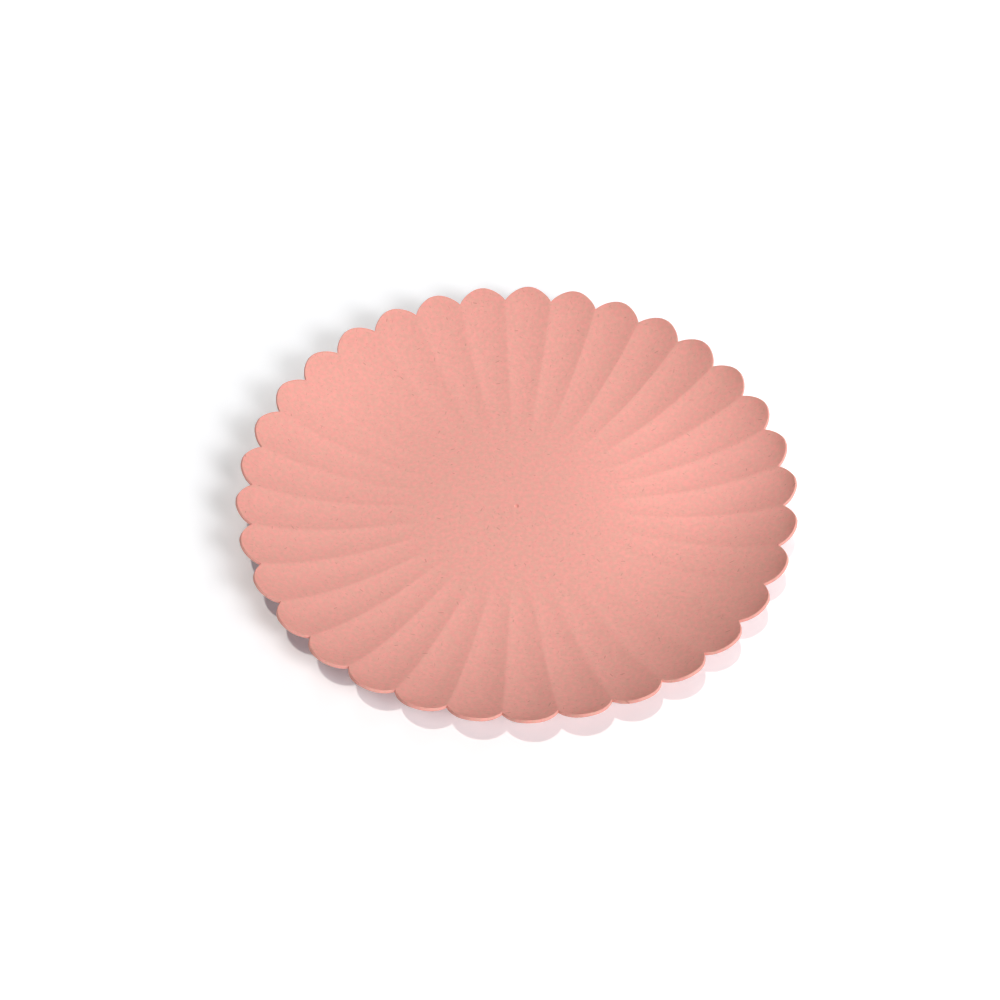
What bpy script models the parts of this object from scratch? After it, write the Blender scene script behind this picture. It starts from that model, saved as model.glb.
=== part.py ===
"""Candy dish: one moulded shell with petal flutes, a scalloped lip and a foot ring.

Metres, +Z up. The origin is on the dish's axis, in the plane that the foot ring rests on,
and the tip of the first petal lies on +X.
"""
import math

import bmesh
import bpy

# Driving dimensions
PETAL_COUNT = 33
TIP_RADIUS = 0.1048
NOTCH_RADIUS = 0.0999
FLOOR_RADIUS = 0.0411
NOTCH_ABOVE_FLOOR = 0.0128
WALL_CURVE = 2.55
WALL = 0.0012
FLUTE_START = 0.0396
FLUTE_ENTRY = 0.00014
FLUTE_ENTRY_RUN = 0.03
FLUTE_DEEPENING = 0.00078
FLUTE_CLOSING = 30
LIP_BULGE = 0.0003
FOOT_RADIUS = 0.0385
FOOT_WIDTH = 0.0022
FOOT_HEIGHT = 0.0009
FOOT_DRAFT = 0.0003

# Facets: columns on each petal, and rows from the flutes' start to the lip
PETAL_COLUMNS = 6
WALL_ROWS = 8
SHARP_ANGLE = math.radians(30)

# A column this far across its petal stands on the ridge, and slopes are taken over this short run
RIDGE_PLACE = 0.999
SLOPE_RUN = 0.0001

# Finish: satin salmon-pink plastic
DISH_COLOUR = (0.805, 0.368, 0.315, 1.0)
DISH_ROUGHNESS = 0.5

# Values that follow from the driving dimensions
HALF_PETAL = math.pi / PETAL_COUNT
FLOOR_TOP = FOOT_HEIGHT + WALL
RIDGE_RUN = NOTCH_RADIUS - FLOOR_RADIUS
HALF_CHORD = NOTCH_RADIUS * math.sin(HALF_PETAL)
SAGITTA = TIP_RADIUS - NOTCH_RADIUS * math.cos(HALF_PETAL)
LOBE_ARC = (HALF_CHORD**2 + SAGITTA**2) / (2 * SAGITTA)
LOBE_CENTRE = TIP_RADIUS - LOBE_ARC
LOBE_HALF_ANGLE = math.asin(HALF_CHORD / LOBE_ARC)


def clear_scene():
    for old in list(bpy.data.objects):
        bpy.data.objects.remove(old, do_unlink=True)


def petal_columns():
    """One (azimuth, place across the petal, lip radius) for each column around the dish.

    The place runs from -1 to 1 between the two ridges that bound the petal. On the lip the
    columns are evenly spaced along the petal's arc.
    """
    columns = []
    for petal in range(PETAL_COUNT):
        for step in range(PETAL_COLUMNS):
            arc = LOBE_HALF_ANGLE * (2 * step / PETAL_COLUMNS - 1)
            along = LOBE_CENTRE + LOBE_ARC * math.cos(arc)
            across = LOBE_ARC * math.sin(arc)
            turn = math.atan2(across, along)
            azimuth = 2 * HALF_PETAL * petal + turn
            columns.append((azimuth, turn / HALF_PETAL, math.hypot(along, across)))
    return columns


def ridge_height(radius):
    """Height of the ridges above the floor: a curve that leaves the floor level and steepens to the lip."""
    run = max(radius - FLOOR_RADIUS, 0.0)
    return NOTCH_ABOVE_FLOOR * (run / RIDGE_RUN) ** WALL_CURVE


def flute_depth(radius):
    """Depth of a flute's centre line below the ridges.

    It dips soon after the flute's start, deepens steadily outwards and closes at the tip.
    """
    share = max(radius - FLUTE_START, 0.0) / (TIP_RADIUS - FLUTE_START)
    entry = FLUTE_ENTRY * (1 - math.exp(-share / FLUTE_ENTRY_RUN))
    return (entry + FLUTE_DEEPENING * share) * max(1 - share**FLUTE_CLOSING, 0.0)


def upper_height(radius, place):
    """Height of the upper surface; each flute is a parabola from ridge to ridge."""
    return FLOOR_TOP + ridge_height(radius) - flute_depth(radius) * (1 - place**2)


def polar_point(radius, azimuth, height):
    return (radius * math.cos(azimuth), radius * math.sin(azimuth), height)


def wall_slopes(radius, place):
    """Rise of the upper surface per metre outwards and per metre around."""
    beyond = upper_height(radius + SLOPE_RUN / 2, place)
    before = upper_height(radius - SLOPE_RUN / 2, place)
    outwards = (beyond - before) / SLOPE_RUN
    on_ridge = abs(place) > RIDGE_PLACE
    around = 0.0 if on_ridge else 2 * place * flute_depth(radius) / (HALF_PETAL * radius)
    return outwards, around


def wall_point(column, share, depth, bulge=0.0):
    """A point of the wall: share runs from the flute's start to the lip, depth goes into the wall."""
    azimuth, place, lip_radius = column
    radius = FLUTE_START + (lip_radius - FLUTE_START) * share
    outwards, around = wall_slopes(radius, place)
    length = math.sqrt(1 + outwards**2 + around**2)
    turn = depth * around / length / radius
    radius_in_wall = radius + depth * outwards / length + bulge / length
    height = upper_height(radius, place) - depth / length + bulge * outwards / length
    return polar_point(radius_in_wall, azimuth + turn, height)


def wall_ring(columns, share, depth, bulge=0.0):
    return [wall_point(column, share, depth, bulge) for column in columns]


def flat_ring(columns, radius, height):
    return [polar_point(radius, azimuth, height) for azimuth, _, _ in columns]


def dish_rings():
    """Rings of points over the dish: up the inside, over the lip, down the outside, round the foot."""
    columns = petal_columns()
    shares = [row / WALL_ROWS for row in range(WALL_ROWS + 1)]
    inner_foot = FOOT_RADIUS - FOOT_WIDTH
    rings = [wall_ring(columns, share, 0.0) for share in shares]
    rings.append(wall_ring(columns, 1.0, WALL / 2, LIP_BULGE))
    rings += [wall_ring(columns, share, WALL) for share in reversed(shares)]
    rings.append(flat_ring(columns, FOOT_RADIUS + FOOT_DRAFT, FOOT_HEIGHT))
    rings.append(flat_ring(columns, FOOT_RADIUS, 0.0))
    rings.append(flat_ring(columns, inner_foot, 0.0))
    rings.append(flat_ring(columns, inner_foot - FOOT_DRAFT, FOOT_HEIGHT))
    return rings


def skin_rings(name, rings):
    """Join each ring to the next with quads and close the first and last with flat discs."""
    work = bmesh.new()
    loops = [[work.verts.new(point) for point in ring] for ring in rings]
    count = len(loops[0])
    for lower, upper in zip(loops, loops[1:]):
        for i in range(count):
            j = (i + 1) % count
            work.faces.new((lower[i], upper[i], upper[j], lower[j]))
    work.faces.new(loops[0])
    work.faces.new(reversed(loops[-1]))
    bmesh.ops.recalc_face_normals(work, faces=work.faces)
    mesh = bpy.data.meshes.new(name)
    work.to_mesh(mesh)
    work.free()
    mesh.shade_smooth()
    mesh.set_sharp_from_angle(angle=SHARP_ANGLE)
    return mesh


def plastic_material():
    material = bpy.data.materials.new("salmon_plastic")
    material.use_nodes = True
    shader = material.node_tree.nodes["Principled BSDF"]
    shader.inputs["Base Color"].default_value = DISH_COLOUR
    shader.inputs["Roughness"].default_value = DISH_ROUGHNESS
    shader.inputs["Metallic"].default_value = 0.0
    return material


def make_dish_body():
    mesh = skin_rings("dish_body", dish_rings())
    mesh.materials.append(plastic_material())
    dish = bpy.data.objects.new("dish_body", mesh)
    bpy.context.scene.collection.objects.link(dish)
    return dish


clear_scene()
make_dish_body()
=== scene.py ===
"""Candy dish: the finished surface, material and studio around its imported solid.

Metres, +Z up. The origin is on the dish's axis, in the plane that the foot ring rests on,
and the tip of the first petal lies on +X.
"""

import math

import bmesh
import bpy
import numpy as np
from mathutils import Matrix, Vector


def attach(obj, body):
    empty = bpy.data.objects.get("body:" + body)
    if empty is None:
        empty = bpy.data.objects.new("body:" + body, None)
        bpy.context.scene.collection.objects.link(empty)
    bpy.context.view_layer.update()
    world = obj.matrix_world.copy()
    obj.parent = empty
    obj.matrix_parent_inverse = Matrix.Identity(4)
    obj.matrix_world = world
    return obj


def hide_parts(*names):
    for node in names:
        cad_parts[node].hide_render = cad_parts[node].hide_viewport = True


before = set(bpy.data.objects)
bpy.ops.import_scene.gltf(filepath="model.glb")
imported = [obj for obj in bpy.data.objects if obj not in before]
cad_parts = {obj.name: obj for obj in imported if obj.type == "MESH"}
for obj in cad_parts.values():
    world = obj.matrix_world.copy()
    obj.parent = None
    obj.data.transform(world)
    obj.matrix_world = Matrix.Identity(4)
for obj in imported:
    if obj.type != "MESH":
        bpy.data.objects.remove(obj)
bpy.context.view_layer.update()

# Shape of the dish, as in the solid
PETAL_COUNT = 33
TIP_RADIUS = 0.1048
NOTCH_RADIUS = 0.0999
FLOOR_RADIUS = 0.0411
NOTCH_ABOVE_FLOOR = 0.0128
WALL_CURVE = 2.55
WALL = 0.0012
FLUTE_START = 0.0396
FLUTE_ENTRY = 0.00014
FLUTE_ENTRY_RUN = 0.03
FLUTE_DEEPENING = 0.00078
FLUTE_CLOSING = 30
LIP_BULGE = 0.0003
FOOT_RADIUS = 0.0385
FOOT_WIDTH = 0.0022
FOOT_HEIGHT = 0.0009
FOOT_DRAFT = 0.0003

# Fine form that the solid leaves out: rounding of the ridges, the lip and the foot's edges, gate mark
RIDGE_ROUNDING = 0.0006
LIP_FLATNESS = 0.5
FOOT_EDGE = 0.0003
GATE_RADIUS = 0.0009
GATE_DEPTH = 0.00080
GATE_RIM = 0.00004
GATE_RIM_PLACE = 1.1
GATE_RIM_SPREAD = 0.15

# Mesh: columns on each petal, rows up the wall, rows round the lip, steps round the foot's edges
PETAL_COLUMNS = 20
COLUMN_CROWDING = 1.6
INSIDE_ROWS = 64
OUTSIDE_ROWS = 32
ROW_CROWDING = 1.35
LIP_ROWS = 12
LIP_MARGIN = 0.997
FOOT_EDGE_STEPS = 2
SHARP_ANGLE = math.radians(40)

# Rings of the gate mark in shares of its radius, and of the flats as (radius, columns to each point)
GATE_RINGS = (0.2, 0.45, 0.7, 0.9, 1.05, 1.25, 1.5)
FLOOR_RINGS = ((0.008, PETAL_COLUMNS), (0.020, 4), (0.034, 2))
UNDERSIDE_RINGS = ((0.030, 2), (0.018, 4), (0.006, PETAL_COLUMNS))

# Slopes are taken over a short run, and the slope around fades by this power towards the ridges
SLOPE_RUN = 0.00004
SLOPE_FADE = 8

# Plastic: linear colours, sizes in metres, and the ranges of noise that are stretched to the full change
ROSE_COLOUR = (0.848, 0.369, 0.322, 1.0)
TAN_COLOUR = (0.762, 0.387, 0.316, 1.0)
FLECK_COLOUR = (0.330, 0.150, 0.120, 1.0)
GLOSS_TINT = (1.0, 0.46, 0.39, 1.0)
DISH_SPECULAR = 0.15
ROUGHNESS_RANGE = (0.44, 0.56)
MOTTLE_SIZE = 0.0013
MOTTLE_DETAIL = 3.0
MOTTLE_RANGE = (0.32, 0.68)
CLOUD_SIZE = 0.0017
CLOUD_DETAIL = 4.0
CLOUD_RANGE = (0.3, 0.7)
CLOUD_DARKNESS = 0.09
CLOUD_SHIFT = (0.37, 0.21, 0.53)
GRAIN_SIZE = 0.0006
GRAIN_DETAIL = 2.0
GRAIN_RANGE = (0.3, 0.7)
GRAIN_HEIGHT = 0.000004

# Flecks: (cell, length, width, share of cells with a fleck, darkness)
FLECKS = (
    (0.0050, 0.0015, 0.00040, 0.18, 0.42),
    (0.0026, 0.0011, 0.00036, 0.36, 0.20),
    (0.0015, 0.0005, 0.00036, 0.28, 0.17),
)

# Outline of a fleck: its bend, the powers that shape its ends and sides, and how its edge and darkness fade
FLECK_BEND = 140.0
FLECK_END_POWER = 3
FLECK_SIDE_POWER = 2
FLECK_EDGE = (0.4, 1.2)
FLECK_FULL_SHARE = 0.3

# Numbers of a Mix node's colour sockets
MIX_FIRST = 6
MIX_SECOND = 7
MIX_RESULT = 2

# Camera: angles in radians, lens in millimetres, and how far the dish's axis lies from the picture's middle
CAMERA_ELEVATION = 0.8920
CAMERA_ROLL = -0.0100
CAMERA_TURN = 0.0153
CAMERA_DISTANCE = 0.6113
CAMERA_LENS = 58.09
CAMERA_SENSOR = 36.0
AXIS_RIGHT = 0.00624
AXIS_UP = 0.00564

# Lamps: (name, azimuth, elevation, size, share of the light on the dish), with angles in degrees
LAMPS = (
    ("key_left", -51.0, 37.0, 0.60, 0.168),
    ("key_right", -40.0, 36.0, 0.60, 0.097),
    ("key_high", -50.0, 48.0, 0.60, 0.082),
    ("key_low", -47.0, 26.0, 0.60, 0.076),
    ("back", 90.0, 48.0, 1.00, 0.049),
    ("right", 28.0, 40.0, 1.00, 0.100),
    ("left", 156.0, 35.0, 1.00, 0.020),
    ("top_soft", 90.0, 75.0, 1.00, 0.061),
)
LAMP_DISTANCE = 2.2
SUN_AZIMUTH = -124.5
SUN_ELEVATION = 78.9
SUN_WIDTH = math.radians(1.0)
SUN_SHARE = 0.304
AMBIENT_SHARE = 0.005
COOL_LIGHT = (1.0, 1.0, 1.035)
WARM_LIGHT = (1.0, 0.995, 0.935)

# Pools of light: (name, azimuth on the dish and radius of the middle, reach, share of the light there)
POOLS = (
    ("pool_wide", 5.0, 0.0200, 0.100, 0.098),
    ("pool_right", 11.0, 0.0745, 0.050, 0.200),
    ("pool_left", 144.0, 0.0880, 0.038, 0.102),
)
POOL_HEIGHT = 0.008
POOL_AZIMUTH = 0.0
POOL_ELEVATION = 75.0
POOL_DISTANCE = 0.6
POOL_LAMP_RADIUS = 0.025

# Floor: its glow under the dish, dimmer and bluer there as painted shade, and beside it, and the radii where
# it starts, changes and turns white
FLOOR_HALF = 3.0
WHITE = (1.0, 1.0, 1.0, 1.0)
# Painted shade: a dimmer, bluer glow under the dish's edge, fading to none farther beneath the dish
PAINTED_SHADE_GLOW = (0.072, 0.106, 0.127, 1.0)
BESIDE_GLOW = (0.140, 0.150, 0.162, 1.0)
PAINTED_SHADE_FADE = (0.072, 0.096)
PAINTED_SHADE_END = (0.100, 0.108)
FAR_EDGE = (0.17, 0.60)

# Values that follow from the sizes
HALF_PETAL = math.pi / PETAL_COUNT
FLOOR_TOP = FOOT_HEIGHT + WALL
NOTCH_HEIGHT = FLOOR_TOP + NOTCH_ABOVE_FLOOR
RIDGE_RUN = NOTCH_RADIUS - FLOOR_RADIUS
HALF_CHORD = NOTCH_RADIUS * math.sin(HALF_PETAL)
SAGITTA = TIP_RADIUS - NOTCH_RADIUS * math.cos(HALF_PETAL)
LOBE_ARC = (HALF_CHORD**2 + SAGITTA**2) / (2 * SAGITTA)
LOBE_CENTRE = TIP_RADIUS - LOBE_ARC


def petal_columns():
    """Azimuth, place across the petal from -1 to 1, and lip radius of every column, ridges crowded."""
    half = PETAL_COLUMNS // 2
    from_ridge = (np.arange(half + 1) / half) ** COLUMN_CROWDING
    place = np.concatenate([from_ridge - 1, 1 - from_ridge[-2:0:-1]])
    turn = place * HALF_PETAL
    lip = LOBE_CENTRE * np.cos(turn) + np.sqrt(LOBE_ARC**2 - (LOBE_CENTRE * np.sin(turn)) ** 2)
    petals = 2 * HALF_PETAL * np.arange(PETAL_COUNT)
    azimuth = (petals[:, None] + turn[None, :]).ravel()
    return azimuth, np.tile(place, PETAL_COUNT), np.tile(lip, PETAL_COUNT)


def ridge_height(radius):
    """Height of the ridges above the floor: a curve that leaves the floor level and steepens to the lip."""
    run = np.maximum(radius - FLOOR_RADIUS, 0.0)
    return NOTCH_ABOVE_FLOOR * (run / RIDGE_RUN) ** WALL_CURVE


def flute_depth(radius):
    """Depth of a flute's centre line below the ridges.

    It dips soon after the flute's start, deepens steadily outwards and closes at the tip.
    """
    share = np.maximum(radius - FLUTE_START, 0.0) / (TIP_RADIUS - FLUTE_START)
    entry = FLUTE_ENTRY * (1 - np.exp(-share / FLUTE_ENTRY_RUN))
    return (entry + FLUTE_DEEPENING * share) * np.maximum(1 - share**FLUTE_CLOSING, 0.0)


def flute_section(radius, place):
    """Share of the flute's depth across the petal: a parabola whose ridges are slightly rounded."""
    rounding = RIDGE_ROUNDING / (HALF_PETAL * radius)
    inwards = np.hypot(1 - np.abs(place), rounding) - rounding
    inwards = inwards / (np.hypot(1, rounding) - rounding)
    return inwards * (2 - inwards)


def upper_height(radius, place):
    """Height of the dish's upper surface above the table."""
    return FLOOR_TOP + ridge_height(radius) - flute_depth(radius) * flute_section(radius, place)


def polar_points(radius, azimuth, height):
    return np.stack([radius * np.cos(azimuth), radius * np.sin(azimuth), height], axis=1)


def flat_ring(azimuth, radius, height):
    return polar_points(radius, azimuth, np.full_like(azimuth, height))


def wall_ring(columns, share, depth, bulge=0.0):
    """Points of the wall: share runs from the flutes' start to the lip, depth goes into the wall."""
    azimuth, place, lip = columns
    radius = FLUTE_START + (lip - FLUTE_START) * share
    step = SLOPE_RUN / 2
    outwards = (upper_height(radius + step, place) - upper_height(radius - step, place)) / SLOPE_RUN
    around = 2 * place * (1 - place**SLOPE_FADE) * flute_depth(radius) / (HALF_PETAL * radius)
    length = np.sqrt(1 + outwards**2 + around**2)
    turn = depth * around / length / radius
    reach = radius + (depth * outwards + bulge) / length
    height = upper_height(radius, place) + (bulge * outwards - depth) / length
    return polar_points(reach, azimuth + turn, height)


def gate_rings(azimuth):
    """The gate mark in the middle of the floor: a shallow pit with a low rim."""
    rings = []
    for share in GATE_RINGS:
        rim = GATE_RIM * math.exp(-(((share - GATE_RIM_PLACE) / GATE_RIM_SPREAD) ** 2))
        pit = GATE_DEPTH * max(1 - share**2, 0.0)
        rings.append(flat_ring(azimuth, GATE_RADIUS * share, FLOOR_TOP + rim - pit))
    return rings


def lip_rings(columns):
    """The lip from its inner side over the crown to its outer side."""
    rings = [wall_ring(columns, LIP_MARGIN, 0.0), wall_ring(columns, 1.0, 0.0)]
    for row in range(1, LIP_ROWS):
        angle = math.pi * row / LIP_ROWS
        across = math.copysign(abs(math.cos(angle)) ** LIP_FLATNESS, math.cos(angle))
        bulge = LIP_BULGE * math.sin(angle) ** LIP_FLATNESS
        rings.append(wall_ring(columns, 1.0, WALL * (1 - across) / 2, bulge))
    rings += [wall_ring(columns, 1.0, WALL), wall_ring(columns, LIP_MARGIN, WALL)]
    return rings


def foot_rings(azimuth):
    """The foot ring from its outer side round to its inner side, with rounded edges."""
    inner = FOOT_RADIUS - FOOT_WIDTH
    turns = [math.pi / 2 * step / FOOT_EDGE_STEPS for step in range(FOOT_EDGE_STEPS + 1)]
    edge = [(FOOT_EDGE * (1 - math.cos(turn)), FOOT_EDGE * (1 - math.sin(turn))) for turn in turns]
    rings = [flat_ring(azimuth, FOOT_RADIUS + FOOT_DRAFT, FOOT_HEIGHT)]
    rings += [flat_ring(azimuth, FOOT_RADIUS - across, height) for across, height in edge]
    rings += [flat_ring(azimuth, inner + across, height) for across, height in reversed(edge)]
    rings.append(flat_ring(azimuth, inner - FOOT_DRAFT, FOOT_HEIGHT))
    return rings


def dish_rings():
    """Rings over the whole dish, from the middle of the floor over the lip to the middle beneath."""
    columns = petal_columns()
    azimuth = columns[0]
    rings = gate_rings(azimuth[::PETAL_COLUMNS])
    rings += [flat_ring(azimuth[::stride], radius, FLOOR_TOP) for radius, stride in FLOOR_RINGS]
    for row in range(INSIDE_ROWS):
        rings.append(wall_ring(columns, (row / INSIDE_ROWS) ** ROW_CROWDING, 0.0))
    rings += lip_rings(columns)
    for row in reversed(range(OUTSIDE_ROWS)):
        rings.append(wall_ring(columns, (row / OUTSIDE_ROWS) ** ROW_CROWDING, WALL))
    rings += foot_rings(azimuth)
    rings += [flat_ring(azimuth[::stride], radius, FOOT_HEIGHT) for radius, stride in UNDERSIDE_RINGS]
    return rings


def bridge(first, second):
    """Faces between two rings of point numbers, where one may have a multiple of the other's points."""
    if len(first) < len(second):
        return [tuple(reversed(face)) for face in bridge(second, first)]
    step = len(first) // len(second)
    middle = step // 2
    faces = []
    for i, near in enumerate(second):
        far = second[(i + 1) % len(second)]
        run = [first[(i * step + k) % len(first)] for k in range(step + 1)]
        faces += [(a, b, near) for a, b in zip(run[:middle], run[1:])]
        faces.append((run[middle], run[middle + 1], far, near))
        faces += [(a, b, far) for a, b in zip(run[middle + 1:], run[middle + 2:])]
    return faces


def skin_rings(name, rings):
    """Join each ring to the next and close the first and the last with flat discs."""
    points = np.concatenate(rings)
    starts = np.cumsum([0] + [len(ring) for ring in rings])
    numbers = [list(range(a, b)) for a, b in zip(starts, starts[1:])]
    faces = [numbers[0], numbers[-1]]
    for first, second in zip(numbers, numbers[1:]):
        faces += bridge(first, second)
    mesh = bpy.data.meshes.new(name)
    mesh.from_pydata(points.tolist(), [], faces)
    work = bmesh.new()
    work.from_mesh(mesh)
    bmesh.ops.recalc_face_normals(work, faces=work.faces)
    work.to_mesh(mesh)
    work.free()
    mesh.shade_smooth()
    mesh.set_sharp_from_angle(angle=SHARP_ANGLE)
    return mesh


def math_node(tree, operation, *given):
    """Output of a math node that is fed by sockets or plain numbers."""
    node = tree.nodes.new("ShaderNodeMath")
    node.operation = operation
    for socket, value in zip(node.inputs, given):
        if isinstance(value, (int, float)):
            socket.default_value = value
        else:
            tree.links.new(value, socket)
    return node.outputs[0]


def remap(tree, value, low, high, first, last):
    """The value moved from one range to another on a smooth step."""
    node = tree.nodes.new("ShaderNodeMapRange")
    node.interpolation_type = "SMOOTHSTEP"
    tree.links.new(value, node.inputs["Value"])
    for name, number in (("From Min", low), ("From Max", high), ("To Min", first), ("To Max", last)):
        node.inputs[name].default_value = number
    return node.outputs["Result"]


def noise(tree, place, size, detail):
    node = tree.nodes.new("ShaderNodeTexNoise")
    node.inputs["Scale"].default_value = 1 / size
    node.inputs["Detail"].default_value = detail
    tree.links.new(place, node.inputs["Vector"])
    return node.outputs["Fac"]


def shifted(tree, place):
    """The place moved sideways, so that two layers of noise don't follow each other."""
    node = tree.nodes.new("ShaderNodeVectorMath")
    node.operation = "ADD"
    tree.links.new(place, node.inputs[0])
    node.inputs[1].default_value = CLOUD_SHIFT
    return node.outputs[0]


def mix_colour(tree, share, first, second):
    """Mix of two colours, each a socket or a plain colour, by the share of the second."""
    node = tree.nodes.new("ShaderNodeMix")
    node.data_type = "RGBA"
    tree.links.new(share, node.inputs["Factor"])
    for socket, value in ((node.inputs[MIX_FIRST], first), (node.inputs[MIX_SECOND], second)):
        if isinstance(value, tuple):
            socket.default_value = value
        else:
            tree.links.new(value, socket)
    return node.outputs[MIX_RESULT]


def cell_places(tree, place, cell):
    """A loose net of cells: three random numbers of each, and the place in it, turned by the first."""
    nodes, links = tree.nodes, tree.links
    net = nodes.new("ShaderNodeTexVoronoi")
    net.voronoi_dimensions = "2D"
    net.inputs["Scale"].default_value = 1 / cell
    links.new(place, net.inputs["Vector"])
    chance = nodes.new("ShaderNodeSeparateColor")
    links.new(net.outputs["Color"], chance.inputs["Color"])
    offset = nodes.new("ShaderNodeVectorMath")
    offset.operation = "SUBTRACT"
    links.new(place, offset.inputs[0])
    links.new(net.outputs["Position"], offset.inputs[1])
    turned = nodes.new("ShaderNodeVectorRotate")
    turned.rotation_type = "Z_AXIS"
    links.new(offset.outputs[0], turned.inputs["Vector"])
    links.new(math_node(tree, "MULTIPLY", chance.outputs[0], 2 * math.pi), turned.inputs["Angle"])
    parts = nodes.new("ShaderNodeSeparateXYZ")
    links.new(turned.outputs["Vector"], parts.inputs[0])
    return chance.outputs, parts.outputs


def fleck_layer(tree, place, cell, length, width, presence, darkness):
    """Share of fleck at each point: a short bent fibre, turned at random, in some cells of a loose net.

    A fibre is between half and one and a half times the given length.
    """
    (_, length_chance, pick_chance), (along, side, _) = cell_places(tree, place, cell)
    bend = math_node(tree, "MULTIPLY", math_node(tree, "SUBTRACT", length_chance, 0.5), FLECK_BEND)
    side = math_node(tree, "MULTIPLY_ADD", math_node(tree, "MULTIPLY", along, along), bend, side)
    half_length = math_node(tree, "MULTIPLY_ADD", length_chance, length / 2, length / 4)
    along = math_node(tree, "ABSOLUTE", math_node(tree, "DIVIDE", along, half_length))
    side = math_node(tree, "ABSOLUTE", math_node(tree, "DIVIDE", side, width / 2))
    along = math_node(tree, "POWER", along, FLECK_END_POWER)
    side = math_node(tree, "POWER", side, FLECK_SIDE_POWER)
    body = remap(tree, math_node(tree, "ADD", along, side), *FLECK_EDGE, 1.0, 0.0)
    strength = remap(tree, pick_chance, FLECK_FULL_SHARE * presence, presence, darkness, 0.0)
    return math_node(tree, "MULTIPLY", body, strength)


def plastic_colour(tree, place):
    """Rose and tan mottling with faint clouds and sparse dark flecks."""
    mottle = noise(tree, place, MOTTLE_SIZE, MOTTLE_DETAIL)
    colour = mix_colour(tree, remap(tree, mottle, *MOTTLE_RANGE, 0.0, 1.0), ROSE_COLOUR, TAN_COLOUR)
    cloud = noise(tree, shifted(tree, place), CLOUD_SIZE, CLOUD_DETAIL)
    cloud = remap(tree, cloud, *CLOUD_RANGE, 0.0, CLOUD_DARKNESS)
    colour = mix_colour(tree, cloud, colour, FLECK_COLOUR)
    for fleck in FLECKS:
        colour = mix_colour(tree, fleck_layer(tree, place, *fleck), colour, FLECK_COLOUR)
    return colour


def plastic_material():
    """Satin plastic filled with plant fibre, with a fine grain in its gloss and surface."""
    material = bpy.data.materials.new("salmon_plastic_fine")
    material.use_nodes = True
    tree = material.node_tree
    shader = tree.nodes["Principled BSDF"]
    place = tree.nodes.new("ShaderNodeTexCoord").outputs["Object"]
    tree.links.new(plastic_colour(tree, place), shader.inputs["Base Color"])
    grain = noise(tree, place, GRAIN_SIZE, GRAIN_DETAIL)
    tree.links.new(remap(tree, grain, *GRAIN_RANGE, *ROUGHNESS_RANGE), shader.inputs["Roughness"])
    bump = tree.nodes.new("ShaderNodeBump")
    bump.inputs["Strength"].default_value = 1.0
    bump.inputs["Distance"].default_value = GRAIN_HEIGHT
    tree.links.new(grain, bump.inputs["Height"])
    tree.links.new(bump.outputs["Normal"], shader.inputs["Normal"])
    shader.inputs["Specular IOR Level"].default_value = DISH_SPECULAR
    shader.inputs["Specular Tint"].default_value = GLOSS_TINT
    return material


def make_dish():
    mesh = skin_rings("dish_shell", dish_rings())
    mesh.materials.append(plastic_material())
    dish = bpy.data.objects.new("dish_shell", mesh)
    bpy.context.scene.collection.objects.link(dish)
    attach(dish, "root")
    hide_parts("dish_body")


def seen_share(tree):
    """1 for rays from the camera and for glossy and transmitted ones, else 0."""
    path = tree.nodes.new("ShaderNodeLightPath")
    direct = math_node(tree, "MAXIMUM", path.outputs["Is Camera Ray"], path.outputs["Is Glossy Ray"])
    return math_node(tree, "MAXIMUM", direct, path.outputs["Is Transmission Ray"])


def floor_material():
    """Matt white floor with a glow for what looks at it: white far from the dish, and faint under it as
    painted shade.
    """
    material = bpy.data.materials.new("studio_floor")
    material.use_nodes = True
    tree = material.node_tree
    shader = tree.nodes["Principled BSDF"]
    shader.inputs["Roughness"].default_value = 1.0
    shader.inputs["Specular IOR Level"].default_value = 0.0
    shader.inputs["Base Color"].default_value = WHITE
    length = tree.nodes.new("ShaderNodeVectorMath")
    length.operation = "LENGTH"
    tree.links.new(tree.nodes.new("ShaderNodeTexCoord").outputs["Object"], length.inputs[0])
    radius = length.outputs["Value"]
    # Painted shade: the glow fades out beneath the dish and turns dimmer and bluer under its edge, darkening
    # and tinting the floor where the dish's shadow falls
    outside_painted_shade = remap(tree, radius, *PAINTED_SHADE_FADE, 0.0, 1.0)
    beside = remap(tree, radius, *PAINTED_SHADE_END, 0.0, 1.0)
    far = remap(tree, radius, *FAR_EDGE, 0.0, 1.0)
    glow = mix_colour(tree, far, mix_colour(tree, beside, PAINTED_SHADE_GLOW, BESIDE_GLOW), WHITE)
    tree.links.new(glow, shader.inputs["Emission Color"])
    strength = math_node(tree, "MULTIPLY", seen_share(tree), outside_painted_shade)
    tree.links.new(strength, shader.inputs["Emission Strength"])
    return material


def make_floor():
    mesh = bpy.data.meshes.new("studio_floor")
    corners = [(x * FLOOR_HALF, y * FLOOR_HALF, 0.0) for x, y in ((-1, -1), (1, -1), (1, 1), (-1, 1))]
    mesh.from_pydata(corners, [], [(0, 1, 2, 3)])
    mesh.materials.append(floor_material())
    floor = bpy.data.objects.new("studio_floor", mesh)
    bpy.context.scene.collection.objects.link(floor)


def direction(azimuth, elevation):
    """Unit vector towards a lamp, with azimuth 0 to the camera's right and -90 towards the camera."""
    turn = math.radians(azimuth) + CAMERA_TURN
    rise = math.radians(elevation)
    return Vector((math.cos(rise) * math.cos(turn), math.cos(rise) * math.sin(turn), math.sin(rise)))


def add_lamp(name, kind, towards, distance, aim=Vector((0.0, 0.0, 0.0))):
    """The data of a new lamp that shines on the aim from the given direction and distance."""
    data = bpy.data.lights.new(name, kind)
    lamp = bpy.data.objects.new(name, data)
    lamp.location = aim + towards * distance
    lamp.rotation_euler = towards.to_track_quat("Z", "Y").to_euler()
    bpy.context.scene.collection.objects.link(lamp)
    return data


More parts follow.
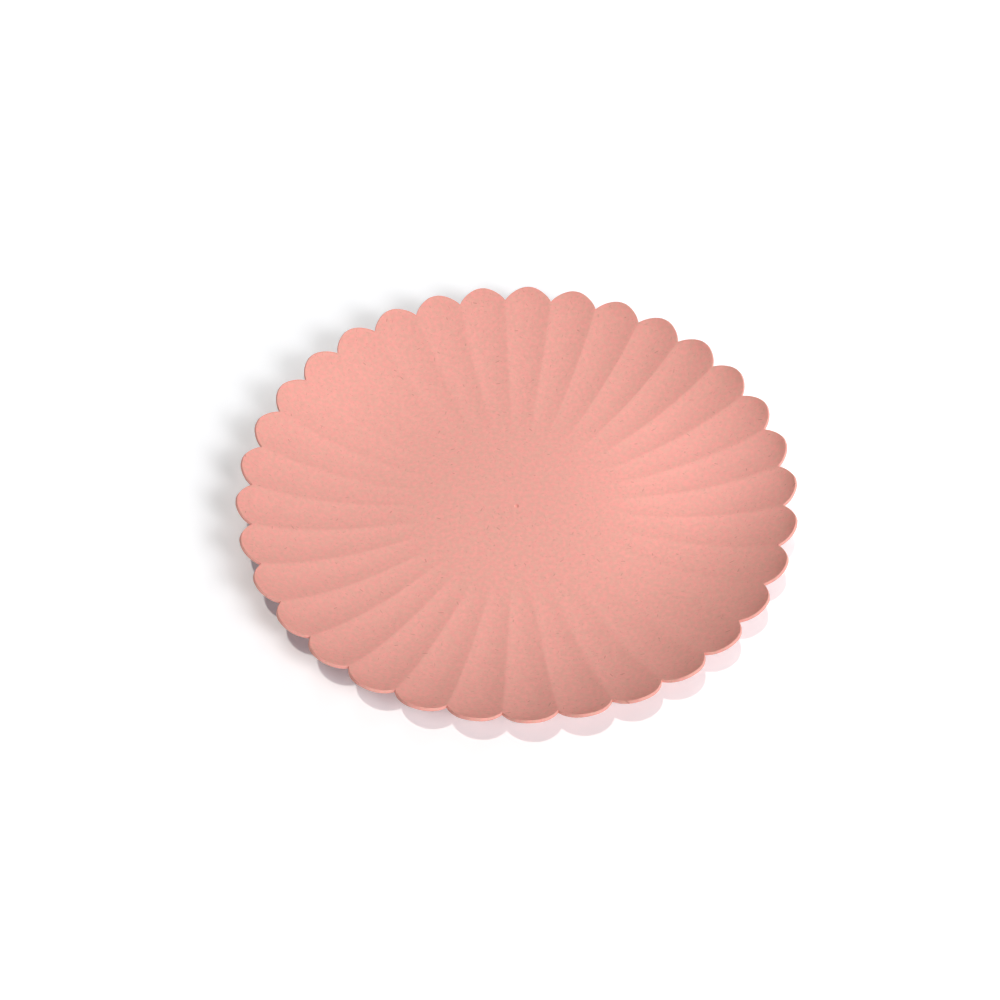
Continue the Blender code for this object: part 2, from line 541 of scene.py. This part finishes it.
def make_lamps():
    """Round soft lamps.

    With those of the sun and the fill, their shares add up to about 1, at which a colour renders as written.
    """
    for name, azimuth, elevation, size, share in LAMPS:
        towards = direction(azimuth, elevation)
        lamp = add_lamp(name, "AREA", towards, LAMP_DISTANCE)
        lamp.shape = "DISK"
        lamp.size = size
        lamp.energy = share * (math.pi * LAMP_DISTANCE) ** 2 / towards.z
        lamp.color = COOL_LIGHT


def make_sun():
    """The hard light from above that draws the lip's sharp shadow."""
    towards = direction(SUN_AZIMUTH, SUN_ELEVATION)
    sun = add_lamp("top_hard", "SUN", towards, LAMP_DISTANCE)
    sun.angle = SUN_WIDTH
    sun.energy = SUN_SHARE * math.pi / towards.z
    sun.color = WARM_LIGHT


def make_pools():
    """Spots with soft edges that brighten parts of the dish."""
    towards = direction(POOL_AZIMUTH, POOL_ELEVATION)
    for name, azimuth, radius, reach, share in POOLS:
        turn = math.radians(azimuth)
        aim = Vector((radius * math.cos(turn), radius * math.sin(turn), POOL_HEIGHT))
        spot = add_lamp(name, "SPOT", towards, POOL_DISTANCE, aim)
        spot.spot_size = 2 * math.atan(reach / POOL_DISTANCE)
        spot.spot_blend = 1.0
        spot.shadow_soft_size = POOL_LAMP_RADIUS
        spot.energy = share * (2 * math.pi * POOL_DISTANCE) ** 2 / towards.z


def make_world():
    """White where the camera and reflections look past the floor, and a faint fill elsewhere."""
    world = bpy.data.worlds.new("studio_world")
    bpy.context.scene.world = world
    world.use_nodes = True
    tree = world.node_tree
    background = tree.nodes["Background"]
    background.inputs["Color"].default_value = WHITE
    level = tree.nodes.new("ShaderNodeMapRange")
    level.inputs["To Min"].default_value = AMBIENT_SHARE
    level.inputs["To Max"].default_value = 1.0
    tree.links.new(seen_share(tree), level.inputs["Value"])
    tree.links.new(level.outputs["Result"], background.inputs["Strength"])


def make_camera():
    """A camera at the photo's angle that looks down on the dish at the height of the notches."""
    turn = Matrix.Rotation(CAMERA_TURN, 3, "Z")
    tilt = Matrix.Rotation(math.pi / 2 - CAMERA_ELEVATION, 3, "X")
    roll = Matrix.Rotation(CAMERA_ROLL, 3, "Z")
    facing = turn @ tilt @ roll
    right, up, back = facing.col
    middle = Vector((0, 0, NOTCH_HEIGHT)) - AXIS_RIGHT * right - AXIS_UP * up
    data = bpy.data.cameras.new("photo_camera")
    data.sensor_width = CAMERA_SENSOR
    data.lens = CAMERA_LENS
    camera = bpy.data.objects.new("photo_camera", data)
    camera.matrix_world = Matrix.Translation(middle + CAMERA_DISTANCE * back) @ facing.to_4x4()
    bpy.context.scene.collection.objects.link(camera)
    bpy.context.scene.camera = camera


make_dish()
make_floor()
make_lamps()
make_sun()
make_pools()
make_world()
make_camera()
bpy.context.scene.view_settings.view_transform = "Standard"
